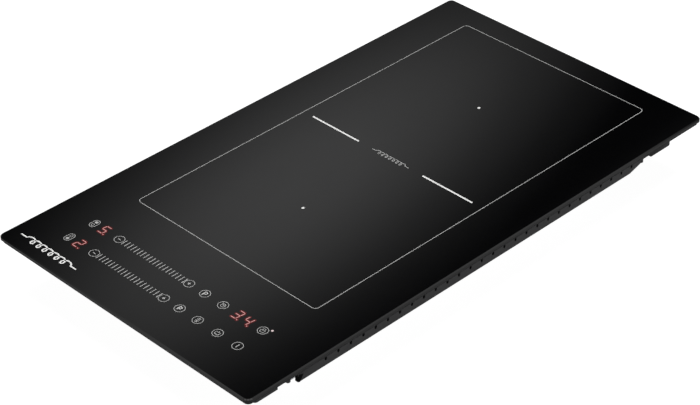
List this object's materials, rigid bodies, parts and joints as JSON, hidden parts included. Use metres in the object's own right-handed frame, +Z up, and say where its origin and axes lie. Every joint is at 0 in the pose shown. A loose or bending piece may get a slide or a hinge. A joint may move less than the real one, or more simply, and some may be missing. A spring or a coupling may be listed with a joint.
{
  "type": "induction cooktop",
  "caption": "Drop-in electric induction cooktop: black glass plate with touch controls over a vented steel tray with coils, blower and terminal box.",
  "frame": {"origin": "middle of the footprint, at the bottom of the feet", "axes": "+Z up out of the glass, +Y to the back, +X to the right as the cook stands"},
  "size_m": [0.29, 0.522, 0.056],
  "materials": {
    "black_glass": "polished",
    "seal_foam": "closed-cell foam",
    "silicone": "smooth",
    "tray_paint": "fine powder coat",
    "zinc_sheet": "galvanised",
    "plated_steel": "zinc plated",
    "black_plastic": "moulded, fine texture",
    "white_plastic": "moulded",
    "circuit_board": "solder mask",
    "component_black": "moulded epoxy",
    "capacitor_yellow": "moulded",
    "capacitor_sleeve": "shrink sleeve",
    "aluminium_plain": "mill finish",
    "copper_wire": "lacquered copper",
    "ferrite_grey": "sintered",
    "mica_sheet": "pressed mica",
    "sensor_ceramic": "matt",
    "brass_plain": "bright",
    "spring_steel": "drawn wire",
    "ribbon_grey": "ribbed",
    "lead_insulation": "silicone sleeve",
    "display_red": "tinted window",
    "screen_print": "ceramic ink fired into the glass",
    "lit_segment": "glowing red",
    "plate_silver": "blank rating plate"
  },
  "bodies": {
    "housing": {"glass_plate": "black_glass", "worktop_seal": "seal_foam", "glass_adhesive": "silicone", "upper_tray": "tray_paint", "lower_tray": "zinc_sheet", "case_screws": "plated_steel", "base_feet": "black_plastic", "cutout_guide_pins": "black_plastic", "fan_grille": "black_plastic", "blower_housing": "black_plastic", "blower_lid": "black_plastic", "blower_motor": "copper_wire", "power_board": "circuit_board", "board_standoffs": "plated_steel", "board_screws": "plated_steel", "heat_sink": "aluminium_plain", "power_transistors": "component_black", "bridge_rectifier": "component_black", "film_capacitors": "capacitor_yellow", "storage_capacitors": "capacitor_sleeve", "mains_choke": "copper_wire", "power_relay": "component_black", "mains_fuse": "sensor_ceramic", "lead_sockets": "brass_plain", "air_duct": "black_plastic", "terminal_box": "black_plastic", "mains_terminal_block": "white_plastic", "cord_inlet_bush": "black_plastic", "mains_leads": "lead_insulation", "earth_screw": "brass_plain", "control_board": "circuit_board", "control_board_holder": "white_plastic", "zone_displays": "display_red", "timer_display": "display_red", "touch_springs": "spring_steel", "buzzer": "component_black", "ribbon_cable": "ribbon_grey", "shield_plate": "aluminium_plain", "shield_supports": "zinc_sheet", "front_coil_springs": "spring_steel", "rear_coil_springs": "spring_steel"},
    "blower_wheel": {"blower_wheel": "black_plastic"},
    "terminal_cover": {"terminal_cover": "black_plastic", "terminal_cover_screw": "plated_steel"},
    "bracket_front_left": {"bracket_front_left": "plated_steel"},
    "bracket_front_right": {"bracket_front_right": "plated_steel"},
    "bracket_rear_left": {"bracket_rear_left": "plated_steel"},
    "bracket_rear_right": {"bracket_rear_right": "plated_steel"},
    "front_coil": {"front_coil_former": "black_plastic", "front_coil_winding": "copper_wire", "front_ferrite_bars": "ferrite_grey", "front_mica_disc": "mica_sheet", "front_sensor": "sensor_ceramic", "front_coil_leads": "lead_insulation"},
    "rear_coil": {"rear_coil_former": "black_plastic", "rear_coil_winding": "copper_wire", "rear_ferrite_bars": "ferrite_grey", "rear_mica_disc": "mica_sheet", "rear_sensor": "sensor_ceramic", "rear_coil_leads": "lead_insulation"}
  },
  "joints": [
    {"name": "blower_spin", "type": "hinge", "parent": "housing", "child": "blower_wheel", "pos_m": [-0.048, -0.128, 0.015], "axis": [0, 0, 1], "continuous": true},
    {"name": "terminal_cover_hinge", "type": "hinge", "parent": "housing", "child": "terminal_cover", "pos_m": [0.055, 0.1747, 0.0058], "axis": [1, 0, 0], "range_deg": [-100, 0]},
    {"name": "bracket_front_left_swivel", "type": "hinge", "parent": "housing", "child": "bracket_front_left", "pos_m": [-0.096, -0.232, 0.035], "axis": [0, 0, 1], "range_deg": [-90, 0]},
    {"name": "bracket_front_right_swivel", "type": "hinge", "parent": "housing", "child": "bracket_front_right", "pos_m": [0.096, -0.232, 0.035], "axis": [0, 0, 1], "range_deg": [0, 90]},
    {"name": "bracket_rear_left_swivel", "type": "hinge", "parent": "housing", "child": "bracket_rear_left", "pos_m": [-0.096, 0.224, 0.0335], "axis": [0, 0, 1], "range_deg": [0, 90]},
    {"name": "bracket_rear_right_swivel", "type": "hinge", "parent": "housing", "child": "bracket_rear_right", "pos_m": [0.096, 0.224, 0.0335], "axis": [0, 0, 1], "range_deg": [-90, 0]},
    {"name": "front_coil_float", "type": "slide", "parent": "housing", "child": "front_coil", "axis": [0, 0, 1], "range_m": [-0.0015, 0], "stiffness_N_per_m": 6000, "springref_m": 0.002, "deforming": ["front_coil_springs"]},
    {"name": "rear_coil_float", "type": "slide", "parent": "housing", "child": "rear_coil", "axis": [0, 0, 1], "range_m": [-0.0015, 0], "stiffness_N_per_m": 6000, "springref_m": 0.002, "deforming": ["rear_coil_springs"]}
  ]
}
